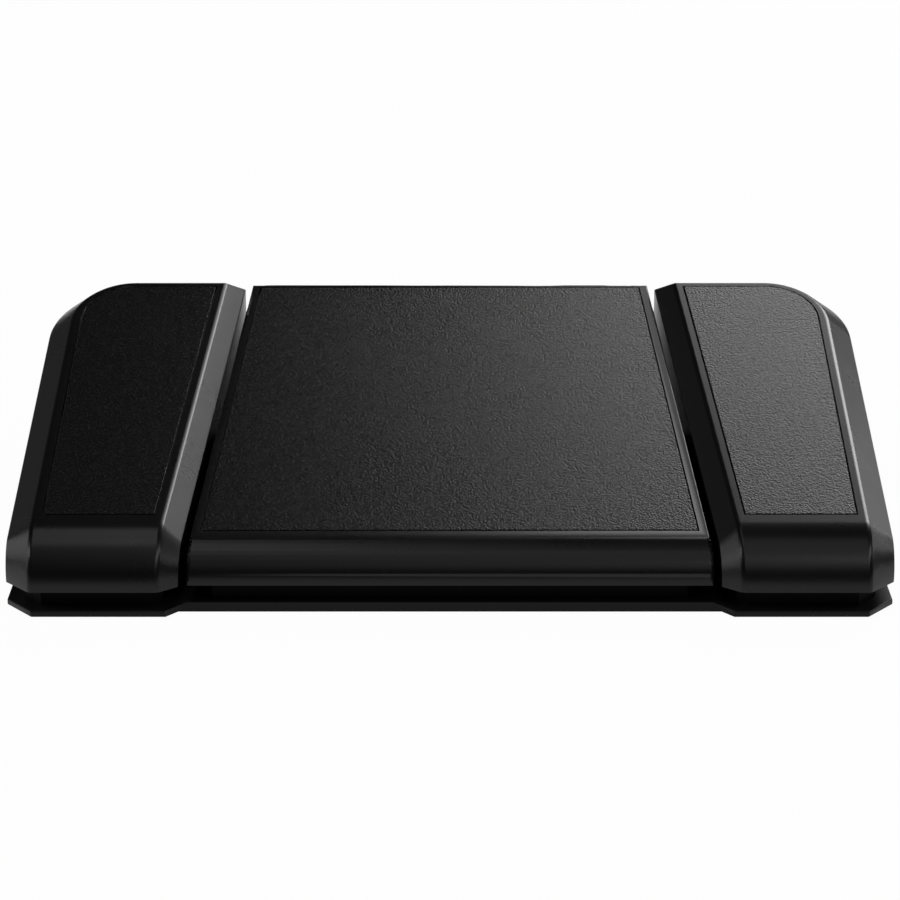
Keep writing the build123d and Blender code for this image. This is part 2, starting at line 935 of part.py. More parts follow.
def countersink(x, y, clearance):
    """Screw's head and shank as one turned shape, flush with the sheet's underside."""
    shank = rod(x, y, mat_thick, mat_thick + screw_length, screw_diameter / 2 + clearance)
    head_z = mat_thick + screw_head_height / 2
    head = Pos(x, y, head_z) * Cone(
        screw_head_diameter / 2 + clearance, screw_diameter / 2 + clearance, screw_head_height
    )
    return shank + head


def base_screws():
    """Countersunk screws, each with a cross recess in its head."""
    screws = Part()
    depth = screw_head_height / 2
    arm = screw_diameter / 2
    web = screw_diameter * cross_web_share
    for x, y in all_screw_places():
        screw = countersink(x, y, 0)
        z1 = mat_thick + depth
        screw -= box(x - arm, x + arm, y - web, y + web, mat_thick - overrun, z1)
        screw -= box(x - web, x + web, y - arm, y + arm, mat_thick - overrun, z1)
        screws += screw
    return screws


def non_slip_mat():
    """Rubber sheet under the base, with a round hole at each screw."""
    half = plate_half_width - mat_setback
    front = plate_middle_y
    rear = plate_rear_y - mat_setback
    corner = mat_setback * 2
    mat = box(-half, half, front, rear, 0, mat_thick)
    mat = fillet(mat.edges().filter_by(Axis.Z).sort_by(Axis.Y)[-2:], corner)
    mat = fillet(mat.edges().filter_by(Axis.Z).sort_by(Axis.Y)[:2], mat_setback)
    for x, y in all_screw_places():
        mat -= rod(x, y, -overrun, mat_thick + overrun, mat_hole_diameter / 2)
    return mat


def shaft(x0, x1):
    """Steel rod with a groove near each end for its clip."""
    radius = shaft_diameter / 2
    half = bracket_thick / 2
    end = half + shaft_overhang
    rod_solid = cross_rod(x0 - end, x1 + end, pivot_y, pivot_z, radius)
    for x, way in ((x0 - half, -1), (x1 + half, 1)):
        edges = sorted((x + way * screw_clearance, x + way * (screw_clearance + clip_thick)))
        ring = cross_rod(*edges, pivot_y, pivot_z, radius)
        rod_solid -= ring - cross_rod(*edges, pivot_y, pivot_z, radius * clip_bore_share)
    return rod_solid


def clip(x, way):
    """Snap ring in a shaft's groove, open at its underside."""
    edges = sorted((x + way * screw_clearance, x + way * (screw_clearance + clip_thick)))
    ring = cross_rod(*edges, pivot_y, pivot_z, clip_diameter / 2)
    bore = shaft_diameter / 2 * clip_bore_share
    ring -= cross_rod(*edges, pivot_y, pivot_z, bore)
    half = bore * clip_mouth_share
    return ring - box(edges[0], edges[1], pivot_y - half, pivot_y + half, 0, pivot_z)


def shaft_clips():
    """Snap rings of all three shafts."""
    half = bracket_thick / 2
    clips = Part()
    ends = [(-centre_pivot_x, centre_pivot_x), (side_pivot_inner_x, side_pivot_outer_x)]
    ends.append((-side_pivot_outer_x, -side_pivot_inner_x))
    for x0, x1 in ends:
        clips += clip(x0 - half, -1)
        clips += clip(x1 + half, 1)
    return clips


def coil_spring():
    """Compression spring of half turns, closed and ground flat at both ends, on its own axis."""
    length = spring_top_z - pod_z
    coil_radius = spring_radius - spring_wire
    halves = 2 * spring_turns
    closed = 2 * spring_closed_turns
    closed_rise = spring_wire + spring_coil_gap / 2
    open_rise = (length - 2 * closed * closed_rise) / (halves - 2 * closed)
    arcs = []
    z = 0
    for index in range(halves):
        is_closed = index < closed or index >= halves - closed
        rise = closed_rise if is_closed else open_rise
        side = 1 if index % 2 == 0 else -1
        bulge = sqrt(coil_radius**2 + (rise / 2) ** 2)
        start = (side * coil_radius, 0, z)
        middle = (0, side * bulge, z + rise / 2)
        end = (-side * coil_radius, 0, z + rise)
        arcs.append(Edge.make_three_point_arc(start, middle, end))
        z += rise
    path = Wire(arcs)
    start_plane = Plane(origin=path @ 0, z_dir=path % 0)
    section = start_plane * RegularPolygon(spring_wire, spring_wire_sides)
    coil = sweep(section, path=path, clean=False)
    return coil & rod(0, 0, 0, length, spring_radius + spring_wire)


def switch_lower(x):
    """Lower housing of a key switch, with its peg through the board."""
    half = switch_side / 2
    flange = switch_flange_side / 2
    y = switch_y
    top = board_top + switch_lower_height
    body = box(x - half, x + half, y - half, y + half, board_top, top)
    body += box(x - flange, x + flange, y - flange, y + flange, top - switch_flange_thick, top)
    well = stem_block_side / 2 + stem_clearance * 2
    body -= box(x - well, x + well, y - well, y + well, board_top + switch_wall, top + overrun)
    return body + rod(x, y, board_top - switch_peg_length, board_top, switch_peg_diameter / 2)


def switch_upper(x):
    """Tapered upper housing with a square window for the stem."""
    z0 = board_top + switch_lower_height
    base = Plane.XY.offset(z0) * Pos(x, switch_y) * Rectangle(switch_side, switch_side)
    crown = Plane.XY.offset(switch_top) * Pos(x, switch_y) * Rectangle(switch_top_side, switch_top_side)
    body = loft([base, crown])
    well = stem_block_side / 2 + stem_clearance * 2
    y = switch_y
    body -= box(x - well, x + well, y - well, y + well, z0 - overrun, switch_top - switch_wall)
    window = stem_cross_span / 2 + stem_clearance
    return body - box(x - window, x + window, y - window, y + window, z0, switch_top + overrun)


def switch_stem(x):
    """Sliding stem: a block held under the window and a cross that stands out of it."""
    y = switch_y
    top = switch_top - switch_wall - stem_clearance
    half = stem_block_side / 2
    block = box(x - half, x + half, y - half, y + half, top - stem_block_height, top)
    arm = stem_cross_span / 2
    web = stem_cross_thick / 2
    cross = box(x - arm, x + arm, y - web, y + web, top, stem_top)
    cross += box(x - web, x + web, y - arm, y + arm, top, stem_top)
    return block + cross


def switch_peg_hole(x):
    """Hole in a board for a switch's peg."""
    radius = switch_peg_diameter / 2 + screw_clearance
    return rod(x, switch_y, board_z - overrun, board_top + overrun, radius)


def side_board():
    """Small board of the right-hand switch."""
    half_x = side_board_width / 2
    half_y = side_board_length / 2
    board = box(
        side_board_x - half_x,
        side_board_x + half_x,
        side_board_y - half_y,
        side_board_y + half_y,
        board_z,
        board_top,
    )
    for x, y in side_board_screw_places():
        board -= rod(x, y, 0, board_top + overrun, board_screw_diameter / 2 + screw_clearance)
    return board - switch_peg_hole(side_board_x)


def main_board():
    """Board of the centre switch, the controller and the socket."""
    half = main_board_width / 2
    board = box(-half, half, main_board_front_y, main_board_rear_y, board_z, board_top)
    tongue = board_tongue_width / 2
    board += box(-tongue, tongue, main_board_rear_y, board_tongue_y, board_z, board_top)
    for x, y in main_board_screw_places():
        board -= rod(x, y, 0, board_top + overrun, board_screw_diameter / 2 + screw_clearance)
    return board - switch_peg_hole(0)


def board_screws():
    """Pan-head screws of all the boards."""
    places = main_board_screw_places()
    for x, y in side_board_screw_places():
        places.append((x, y))
        places.append((-x, y))
    screws = Part()
    for x, y in places:
        shank = rod(x, y, board_top - board_screw_length, board_top, board_screw_diameter / 2)
        head_radius = board_screw_head_diameter / 2
        head = rod(x, y, board_top, board_top + board_screw_head_height, head_radius)
        head = chamfer(head.edges().sort_by(Axis.Z)[-1], board_screw_head_chamfer)
        arm = board_screw_diameter / 2
        web = board_screw_diameter * cross_web_share
        z0 = board_top + board_screw_head_height / 2
        head -= box(x - arm, x + arm, y - web, y + web, z0, z0 + overrun)
        head -= box(x - web, x + web, y - arm, y + arm, z0, z0 + overrun)
        screws += shank + head
    return screws


def socket_shell():
    """Drawn metal shell of the socket, closed at its inner end."""
    shell = stadium(socket_width, socket_height, socket_rear_y(), socket_mouth_y)
    inner = stadium(
        socket_width - 2 * socket_wall,
        socket_height - 2 * socket_wall,
        socket_rear_y() + socket_wall,
        socket_mouth_y + overrun,
    )
    return shell - inner


def socket_tongue():
    """Contact tongue in the middle of the socket, on its rear block."""
    z = socket_middle()
    start = socket_rear_y() + socket_wall
    end = socket_mouth_y - tongue_setback
    half = tongue_width / 2
    tongue = box(-half, half, start, end, z - tongue_thick / 2, z + tongue_thick / 2)
    depth = end - tongue_length
    inset = 2 * socket_wall + screw_clearance
    return tongue + stadium(socket_width - inset, socket_height - inset, start, depth)


def controller_chip():
    """Square controller with legs along its four sides."""
    half = chip_side / 2
    z0 = board_top + screw_clearance
    chip = box(chip_x - half, chip_x + half, chip_y - half, chip_y + half, z0, z0 + chip_height)
    chip = chamfer(chip.edges().group_by(Axis.Z)[-1], chip_leg_width / 2)
    span = half + chip_leg_length
    web = chip_leg_width / 2
    for index in range(chip_legs):
        step = (index - (chip_legs - 1) / 2) * chip_leg_pitch
        z1 = board_top + chip_leg_width
        x = chip_x + step
        y = chip_y + step
        chip += box(x - web, x + web, chip_y - span, chip_y + span, board_top, z1)
        chip += box(chip_x - span, chip_x + span, y - web, y + web, board_top, z1)
    return chip


def crystal():
    """Metal can of the clock crystal."""
    half_x = crystal_width / 2
    half_y = crystal_length / 2
    can = box(
        crystal_x - half_x,
        crystal_x + half_x,
        crystal_y - half_y,
        crystal_y + half_y,
        board_top,
        board_top + crystal_height,
    )
    return fillet(can.edges().filter_by(Axis.Z), crystal_corner_radius)


def capacitors():
    """Small chip capacitors near the controller and the socket."""
    group = Part()
    half_x = capacitor_length / 2
    half_y = capacitor_width / 2
    for x, y in capacitor_places():
        body = box(x - half_x, x + half_x, y - half_y, y + half_y, board_top, board_top + capacitor_height)
        group += body
    return group


def capacitor_places():
    """Middle of each capacitor, beside the chip, the crystal and the socket."""
    beside_chip = chip_y + chip_side + chip_leg_length
    before_chip = chip_y - chip_side - chip_leg_length
    beside_crystal = crystal_x - crystal_width - capacitor_width
    return [
        (chip_x, beside_chip),
        (chip_x, before_chip),
        (beside_crystal, crystal_y),
        (beside_crystal, crystal_y - crystal_width),
    ]


def header_place_side():
    """Middle of the header on the side board."""
    return lead_side_x, side_board_y - side_board_length / 2 + header_depth / 2


def header(x, y):
    """Two-way header with a socket that faces the toe edge."""
    half = header_width / 2
    y0 = y - header_depth / 2
    y1 = y + header_depth / 2
    top = board_top + header_height
    wall = header_wall
    body = box(x - half, x + half, y0, y1, board_top, top)
    inner = half - wall
    return body - box(x - inner, x + inner, y0 - overrun, y1 - wall, board_top + wall, top - wall)


def lead_plug(x, y):
    """Crimp housing pushed into a header."""
    fit = screw_clearance
    half = header_width / 2 - header_wall - fit
    y0 = y - header_depth / 2 - header_wall
    y1 = y + header_depth / 2 - header_wall - fit
    z0 = board_top + header_wall + fit
    z1 = board_top + header_height - header_wall - fit
    return box(x - half, x + half, y0, y1, z0, z1)


def leads(side):
    """Two leads from a side board to the main board, across the foot of the pods."""
    x_side, y_side = header_place_side()
    y_main = main_board_front_y + header_depth / 2
    z_high = board_top + header_height / 2
    z_low = pod_z + lead_diameter / 2 + lead_lift
    group = Part()
    for index in (-1, 1):
        shift = index * lead_pitch / 2
        start_y = y_side - header_depth / 2 - header_wall
        end_y = y_main - header_depth / 2 - header_wall
        down = (z_high - z_low) + lead_bend
        points = [
            (side * (x_side + shift), start_y, z_high),
            (side * (x_side + shift), start_y - lead_bend, z_high),
            (side * (x_side + shift), start_y - lead_bend - down, z_low),
            (side * (x_side + shift), lead_cross_y - shift, z_low),
            (side * (lead_centre_x - shift), lead_cross_y - shift, z_low),
            (side * (lead_centre_x - shift), end_y - lead_bend - down, z_low),
            (side * (lead_centre_x - shift), end_y - lead_bend, z_high),
            (side * (lead_centre_x - shift), end_y, z_high),
        ]
        path = FilletPolyline(*points, radius=lead_bend / 2)
        start = Plane(origin=path @ 0, z_dir=path % 0)
        group += sweep(start * Circle(lead_diameter / 2), path=path)
    return group


def bumper(x):
    """Rubber bumper with a stem pushed into its pillar."""
    head = rod(x, bumper_y, bumper_boss_z, bumper_boss_z + bumper_height, bumper_diameter / 2)
    head = fillet(head.edges().sort_by(Axis.Z)[-1], bumper_round)
    stem_z = bumper_boss_z - bumper_stem_length
    return head + rod(x, bumper_y, stem_z, bumper_boss_z, bumper_stem_diameter / 2)


def left(shape):
    """Mirror image of a right-hand piece."""
    return mirror(shape, about=Plane.YZ)


def build():
    """All pieces by name."""
    pedal = side_pedal()
    pad = side_pad()
    pod = side_pod()
    board = side_board()
    spring = coil_spring()
    main_header_y = main_board_front_y + header_depth / 2
    side_header_x, side_header_y = header_place_side()
    pieces = {
        "base_plate": base_plate(),
        "non_slip_mat": non_slip_mat(),
        "base_screws": base_screws(),
        "pod_right": pod,
        "pod_left": left(pod),
        "pod_centre": centre_pod(),
        "pedal_right": pedal,
        "pedal_left": left(pedal),
        "pedal_centre": centre_pedal(),
        "pad_right": pad,
        "pad_left": left(pad),
        "pad_centre": centre_pad(),
        "shaft_right": shaft(side_pivot_inner_x, side_pivot_outer_x),
        "shaft_left": shaft(-side_pivot_outer_x, -side_pivot_inner_x),
        "shaft_centre": shaft(-centre_pivot_x, centre_pivot_x),
        "shaft_clips": shaft_clips(),
        "board_right": board,
        "board_left": left(board),
        "board_main": main_board(),
        "board_screws": board_screws(),
        "socket_shell": socket_shell(),
        "socket_tongue": socket_tongue(),
        "controller_chip": controller_chip(),
        "clock_crystal": crystal(),
        "capacitors": capacitors(),
    }
    rows = {"left": -1, "right": 1}
    for name, side in rows.items():
        x = side * side_board_x
        pieces["switch_lower_" + name] = switch_lower(x)
        pieces["switch_upper_" + name] = switch_upper(x)
        pieces["switch_stem_" + name] = switch_stem(x)
        pieces["bumper_" + name] = bumper(side * side_bumper_x)
        pieces["spring_" + name] = Pos(side * side_spring_x, spring_y, pod_z) * spring
        pieces["header_" + name] = header(side * side_header_x, side_header_y)
        pieces["plug_" + name] = lead_plug(side * side_header_x, side_header_y)
        pieces["header_main_" + name] = header(side * lead_centre_x, main_header_y)
        pieces["plug_main_" + name] = lead_plug(side * lead_centre_x, main_header_y)
        pieces["leads_" + name] = leads(side)
        pieces["bumper_centre_" + name] = bumper(side * centre_bumper_x)
        pieces["spring_centre_" + name] = Pos(side * centre_spring_x, spring_y, pod_z) * spring
    pieces["switch_lower_centre"] = switch_lower(0)
    pieces["switch_upper_centre"] = switch_upper(0)
    pieces["switch_stem_centre"] = switch_stem(0)
    return pieces


os.makedirs("parts", exist_ok=True)
for node, piece in build().items():
    export_step(piece, "parts/" + node + ".step")
    print(node, len(piece.solids()), round(piece.volume, 1))
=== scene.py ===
from math import cos, pi, radians, sin

import bpy
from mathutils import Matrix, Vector
import numpy as np


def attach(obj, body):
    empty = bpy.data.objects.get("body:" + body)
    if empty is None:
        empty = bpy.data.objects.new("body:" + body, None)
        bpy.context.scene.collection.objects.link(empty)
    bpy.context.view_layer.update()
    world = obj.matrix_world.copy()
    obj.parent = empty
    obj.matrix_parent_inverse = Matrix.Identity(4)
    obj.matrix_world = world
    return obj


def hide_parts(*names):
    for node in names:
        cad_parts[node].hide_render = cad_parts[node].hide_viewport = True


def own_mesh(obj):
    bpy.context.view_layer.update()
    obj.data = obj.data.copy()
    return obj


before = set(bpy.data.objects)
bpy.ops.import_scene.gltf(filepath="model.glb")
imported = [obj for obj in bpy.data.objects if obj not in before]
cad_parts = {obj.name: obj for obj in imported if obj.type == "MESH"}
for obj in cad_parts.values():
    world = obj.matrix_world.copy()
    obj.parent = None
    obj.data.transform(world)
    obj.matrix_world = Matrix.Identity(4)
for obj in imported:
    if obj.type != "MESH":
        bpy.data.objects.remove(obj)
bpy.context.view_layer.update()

MM = 0.001

# The room.
# A pale seamless table, a camera a little above the pedals' slope, and soft
# boxes that are large from behind and narrow at the sides.
CAMERA_DISTANCE = 957.8 * MM
CAMERA_ELEVATION = radians(18)
CAMERA_TARGET = Vector((0, -16.1 * MM, 28 * MM))
CAMERA_LENS = 133.42
SENSOR_WIDTH = 36
FLOOR_SIZE = 12
FLOOR_COLOUR = (0.9, 0.9, 0.9, 1)
FLOOR_WHITE_SHARE = 0.97
ROOM_COLOUR = (1, 1, 1, 1)
ROOM_STRENGTH = 0.02
LAMP_DISTANCE = 1.6
LAMP_TARGET = Vector((0, 0, 20 * MM))
# Name, azimuth, elevation, width and height in degrees, and radiance.
LAMPS = (
    ("rear_soft_box", 24, 32, 36, 22, 2.7),
    ("rear_core", 31, 29, 13, 16, 7.2),
    ("left_strip", -76, 17, 36, 24, 1.6),
    ("left_rear_box", -40, 14, 22, 12, 0.1),
    ("left_side_box", -98, 20, 16, 26, 1.9),
    ("left_high_box", -110, 37, 16, 16, 6.0),
    ("overhead_box", -92, 82, 40, 7, 2.4),
    ("front_box", 167, 54, 34, 64, 0.7),
    ("right_strip", 66, 16, 64, 6.5, 3.3),
    ("right_front_box", 129, 42, 52, 10, 4.9),
)


def new_material(name):
    """Material with only its output, and the nodes and links to build it from."""
    material = bpy.data.materials.new(name)
    material.use_nodes = True
    nodes = material.node_tree.nodes
    nodes.clear()
    output = nodes.new("ShaderNodeOutputMaterial")
    return material, nodes, material.node_tree.links, output


def direction(azimuth, elevation):
    """Unit vector; azimuth turns from the rear of the pedals towards their right."""
    azimuth = radians(azimuth)
    elevation = radians(elevation)
    level = cos(elevation)
    return Vector((sin(azimuth) * level, cos(azimuth) * level, sin(elevation)))


def soft_box(name, azimuth, elevation, width_angle, height_angle, radiance):
    """Lamp that fills the given angles as seen from the pedals."""
    way = direction(azimuth, elevation)
    data = bpy.data.lights.new(name, "AREA")
    data.shape = "RECTANGLE"
    data.size = LAMP_DISTANCE * radians(width_angle)
    data.size_y = LAMP_DISTANCE * radians(height_angle)
    data.energy = radiance * pi * data.size * data.size_y
    lamp = bpy.data.objects.new(name, data)
    lamp.location = LAMP_TARGET + way * LAMP_DISTANCE
    lamp.rotation_euler = way.to_track_quat("Z", "Y").to_euler()
    bpy.context.scene.collection.objects.link(lamp)


camera_data = bpy.data.cameras.new("camera")
camera_data.lens = CAMERA_LENS
camera_data.sensor_width = SENSOR_WIDTH
camera = bpy.data.objects.new("camera", camera_data)
camera_way = Vector((0, -cos(CAMERA_ELEVATION), sin(CAMERA_ELEVATION)))
camera.location = CAMERA_TARGET + camera_way * CAMERA_DISTANCE
camera.rotation_euler = camera_way.to_track_quat("Z", "Y").to_euler()
bpy.context.scene.collection.objects.link(camera)
bpy.context.scene.camera = camera
bpy.context.scene.view_settings.view_transform = "Standard"

for lamp_values in LAMPS:
    soft_box(*lamp_values)

room = bpy.data.worlds.new("room")
room.use_nodes = True
bpy.context.scene.world = room
air = room.node_tree.nodes
air.clear()
air_output = air.new("ShaderNodeOutputWorld")
air_light = air.new("ShaderNodeBackground")
air_light.inputs["Color"].default_value = ROOM_COLOUR
air_light.inputs["Strength"].default_value = ROOM_STRENGTH
room.node_tree.links.new(air_light.outputs["Background"], air_output.inputs["Surface"])

bpy.ops.object.select_all(action="DESELECT")
bpy.ops.mesh.primitive_plane_add(size=FLOOR_SIZE)
floor = bpy.context.object
floor.name = "floor"
floor_material, nodes, links, output = new_material("pale_table")
floor_paper = nodes.new("ShaderNodeBsdfDiffuse")
floor_paper.inputs["Color"].default_value = FLOOR_COLOUR
floor_white = nodes.new("ShaderNodeEmission")
floor_path = nodes.new("ShaderNodeLightPath")
seen = nodes.new("ShaderNodeMath")
seen.operation = "ADD"
seen_at_all = nodes.new("ShaderNodeMath")
seen_at_all.operation = "ADD"
seen_at_all.use_clamp = True
white_share = nodes.new("ShaderNodeMath")
white_share.operation = "MULTIPLY"
white_share.inputs[1].default_value = FLOOR_WHITE_SHARE
floor_mix = nodes.new("ShaderNodeMixShader")
links.new(floor_path.outputs["Is Camera Ray"], seen.inputs[0])
links.new(floor_path.outputs["Is Glossy Ray"], seen.inputs[1])
links.new(seen.outputs[0], seen_at_all.inputs[0])
links.new(floor_path.outputs["Is Transmission Ray"], seen_at_all.inputs[1])
links.new(seen_at_all.outputs[0], white_share.inputs[0])
links.new(white_share.outputs[0], floor_mix.inputs["Fac"])
links.new(floor_paper.outputs["BSDF"], floor_mix.inputs[1])
links.new(floor_white.outputs["Emission"], floor_mix.inputs[2])
links.new(floor_mix.outputs["Shader"], output.inputs["Surface"])
floor.data.materials.append(floor_material)

# Base sheet.
# The steel plate under all three pedals, blanked with a lobe under each side
# pedal, its edges broken and its faces powder coated black.
PLATE_EDGE = 0.35 * MM
PLATE_SEGMENTS = 3
PLATE_TURN = radians(50)
SMOOTH_ANGLE = radians(32)
FLAT_ANGLE = radians(0.6)
MERGE_GAP = 0.02 * MM
PROUD_GAP = 0.5 * MM
WALL_RISE = 0.1
WALL_FRONT = -0.5
CLOUD_DETAIL = 4
GRAIN_DETAIL = 2
DARKER_SHARE = 0.86
LIGHTER_SHARE = 1.12


def grained(name, colour, roughness, specular, metallic=0.0, grain=0.4, grain_depth=0.0,
            wear=0.08, cloud=14.0):
    """Material with a fine grain, and a slow change of gloss and shade over the
    surface. The grain, its depth and the cloud of the slow change are in mm."""
    material, nodes, links, output = new_material(name)
    shader = nodes.new("ShaderNodeBsdfPrincipled")
    shader.inputs["Metallic"].default_value = metallic
    shader.inputs["Specular IOR Level"].default_value = specular
    place = nodes.new("ShaderNodeTexCoord")
    slow = nodes.new("ShaderNodeTexNoise")
    slow.inputs["Scale"].default_value = 1 / (cloud * MM)
    slow.inputs["Detail"].default_value = CLOUD_DETAIL
    links.new(place.outputs["Object"], slow.inputs["Vector"])
    gloss = nodes.new("ShaderNodeMapRange")
    gloss.inputs["To Min"].default_value = roughness - wear
    gloss.inputs["To Max"].default_value = roughness + wear
    links.new(slow.outputs["Fac"], gloss.inputs["Value"])
    links.new(gloss.outputs["Result"], shader.inputs["Roughness"])
    shade = nodes.new("ShaderNodeMixRGB")
    darker = tuple(part * DARKER_SHARE for part in colour)
    lighter = tuple(min(1, part * LIGHTER_SHARE) for part in colour)
    shade.inputs["Color1"].default_value = darker + (1,)
    shade.inputs["Color2"].default_value = lighter + (1,)
    links.new(slow.outputs["Fac"], shade.inputs["Fac"])
    links.new(shade.outputs["Color"], shader.inputs["Base Color"])
    fine = nodes.new("ShaderNodeTexNoise")
    fine.inputs["Scale"].default_value = 1 / (grain * MM)
    fine.inputs["Detail"].default_value = GRAIN_DETAIL
    links.new(place.outputs["Object"], fine.inputs["Vector"])
    bump = nodes.new("ShaderNodeBump")
    bump.inputs["Strength"].default_value = 1
    bump.inputs["Distance"].default_value = grain_depth * MM
    links.new(fine.outputs["Fac"], bump.inputs["Height"])
    links.new(bump.outputs["Normal"], shader.inputs["Normal"])
    links.new(shader.outputs["BSDF"], output.inputs["Surface"])
    return material


def pick(piece):
    """Leave only this piece selected and active."""
    bpy.ops.object.select_all(action="DESELECT")
    piece.select_set(True)
    bpy.context.view_layer.objects.active = piece


def copy_of(node, name):
    """Free copy of a construction piece, its triangles joined into whole faces."""
    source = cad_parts[node]
    piece = bpy.data.objects.new(name, source.data.copy())
    bpy.context.scene.collection.objects.link(piece)
    piece.data.materials.clear()
    pick(piece)
    bpy.ops.object.mode_set(mode="EDIT")
    bpy.ops.mesh.select_all(action="SELECT")
    bpy.ops.mesh.remove_doubles(threshold=MERGE_GAP)
    bpy.ops.mesh.dissolve_limited(angle_limit=FLAT_ANGLE)
    bpy.ops.mesh.select_all(action="DESELECT")
    bpy.ops.object.mode_set(mode="OBJECT")
    return piece


def is_wall(normal):
    """Whether a face stands upright, and isn't the rounded front."""
    return abs(normal.z) < WALL_RISE and normal.y > WALL_FRONT


def round_edges(piece, width, segments, turn, lowest, wall_share=1.0):
    """Roll over each edge above the lowest height where two outer faces turn by
    more than turn, the edges of upright walls by only wall_share of the width.
    A face is an outer one when nothing of the piece stands proud of it."""
    mesh = piece.data
    points = np.array([vertex.co for vertex in mesh.vertices])
    normals = {}
    for face in mesh.polygons:
        for key in face.edge_keys:
            normals.setdefault(key, []).append(face.normal.copy())
    shares = mesh.attributes.new("bevel_weight_edge", "FLOAT", "EDGE")
    for edge in mesh.edges:
        meeting = normals.get(tuple(sorted(edge.vertices)), [])
        if len(meeting) != 2:
            continue
        start, end = (mesh.vertices[number].co for number in edge.vertices)
        middle = (start + end) / 2
        proud = max(
            ((points - np.array(middle)) @ np.array(normal)).max() for normal in meeting)
        if proud > PROUD_GAP or middle.z <= lowest:
            continue
        if meeting[0].angle(meeting[1], 0) > turn:
            beside_wall = is_wall(meeting[0]) or is_wall(meeting[1])
            shares.data[edge.index].value = wall_share if beside_wall else 1.0
    pick(piece)
    bpy.ops.object.modifier_add(type="BEVEL")
    roll = piece.modifiers[-1]
    roll.limit_method = "WEIGHT"
    roll.width = width
    roll.segments = segments
    roll.use_clamp_overlap = False
    bpy.ops.object.modifier_apply(modifier=roll.name)


def dress_copy(piece, node, body, material):
    """Smooth the copy, dress it, and let it stand for its construction piece."""
    pick(piece)
    bpy.ops.object.shade_smooth_by_angle(angle=SMOOTH_ANGLE)
    bpy.ops.object.modifier_add(type="WEIGHTED_NORMAL")
    weighting = piece.modifiers[-1]
    weighting.keep_sharp = True
    bpy.ops.object.modifier_apply(modifier=weighting.name)
    piece.data.materials.append(material)
    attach(piece, body)
    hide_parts(node)


def dress(names, material):
    """Give construction pieces that keep their shape their material."""
    for name in names:
        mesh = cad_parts[name].data
        mesh.materials.clear()
        mesh.materials.append(material)


powder_coat = grained("powder_coated_steel", colour=(0.004, 0.004, 0.004), roughness=0.5,
                      specular=0.16, grain=0.5, grain_depth=0.02)
plate = copy_of("base_plate", "base_sheet")
round_edges(plate, PLATE_EDGE, PLATE_SEGMENTS, PLATE_TURN, lowest=0)
dress_copy(plate, "base_plate", "base", powder_coat)

# Non-slip mat.
# A thin sheet of black rubber glued under the base, with a hole punched at
# each screw.
mat_rubber = grained("mat_rubber", colour=(0.008, 0.008, 0.008), roughness=0.75,
                     specular=0.2, grain=0.8, grain_depth=0.05)
dress(["non_slip_mat"], mat_rubber)

# Trays.
# Each pedal sits in a moulded tray with its uprights, spring cup and pillars,
# in a duller black than the pedals, screwed to the base from below. Their black
# is painted darker than the pedals' black, as painted shade in the gaps under the pedals.
# Painted shade: the trays' black plastic is set darker than the pedals' to stand in for the
# shade in the gaps beneath them.
tray_plastic_painted_shade = grained("tray_plastic_painted_shade", colour=(0.002, 0.002, 0.002), roughness=0.6,
                       specular=0.06, grain=0.35, grain_depth=0.015)
dress(["pod_left", "pod_centre", "pod_right"], tray_plastic_painted_shade)

# Screws.
# Zinc-plated steel: countersunk ones hold the trays from below, and small pan
# heads hold the boards.
screw_zinc = grained("zinc_plate", colour=(0.55, 0.56, 0.58), roughness=0.32,
                     specular=0.5, metallic=1.0, grain=0.2, grain_depth=0.004)
dress(["base_screws", "board_screws"], screw_zinc)

# Shafts and clips.
# Ground steel rods through the uprights, with black spring clips in the grooves
# near their ends.
ground_steel = grained("ground_steel", colour=(0.58, 0.58, 0.57), roughness=0.22,
                       specular=0.5, metallic=1.0, grain=0.15, grain_depth=0.003)
clip_steel = grained("blued_spring_steel", colour=(0.07, 0.07, 0.08), roughness=0.35,
                     specular=0.5, metallic=1.0)
dress(["shaft_left", "shaft_centre", "shaft_right"], ground_steel)
dress(["shaft_clips"], clip_steel)

# Return springs.
# Wound music wire, ground flat at both ends, standing in cups of the trays.
SPRING_PEDALS = (
    ("left", "left"), ("centre_left", "centre"), ("centre_right", "centre"), ("right", "right"))
spring_wire = grained("spring_wire", colour=(0.42, 0.41, 0.4), roughness=0.28,
                      specular=0.5, metallic=1.0)
for place, pedal_place in SPRING_PEDALS:
    coil = copy_of("spring_" + place, "coil_" + place)
    dress_copy(coil, "spring_" + place, "base", spring_wire)
    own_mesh(coil)

# Circuit boards.
# Glass laminate under green resist, one small board at each side switch and
# the main one in the middle.
laminate = grained("green_laminate", colour=(0.012, 0.09, 0.035), roughness=0.3,
                   specular=0.5, grain=0.6, grain_depth=0.01)
dress(["board_left", "board_main", "board_right"], laminate)

# Parts on the boards.
# The controller in black epoxy, the clock's steel can, ceramic capacitors, and
# nylon headers with the plugs of the side switches' leads.
SIDES = ("left", "right")
CONNECTORS = ("header_", "header_main_", "plug_", "plug_main_")
epoxy = grained("chip_epoxy", colour=(0.012, 0.012, 0.013), roughness=0.45,
                specular=0.4, grain=0.12, grain_depth=0.006)
can_steel = grained("nickel_can", colour=(0.62, 0.6, 0.56), roughness=0.25,
                    specular=0.5, metallic=1.0)
ceramic = grained("capacitor_ceramic", colour=(0.36, 0.24, 0.14), roughness=0.4,
                  specular=0.4)
nylon = grained("header_nylon", colour=(0.72, 0.69, 0.6), roughness=0.45, specular=0.4)
dress(["controller_chip"], epoxy)
dress(["clock_crystal"], can_steel)
dress(["capacitors"], ceramic)
dress([kind + side for side in SIDES for kind in CONNECTORS], nylon)

# Leads.
# Two wires from each side switch to the main board, in soft black insulation.
insulation = grained("lead_insulation", colour=(0.02, 0.02, 0.022), roughness=0.5,
                     specular=0.4)
dress(["leads_left", "leads_right"], insulation)

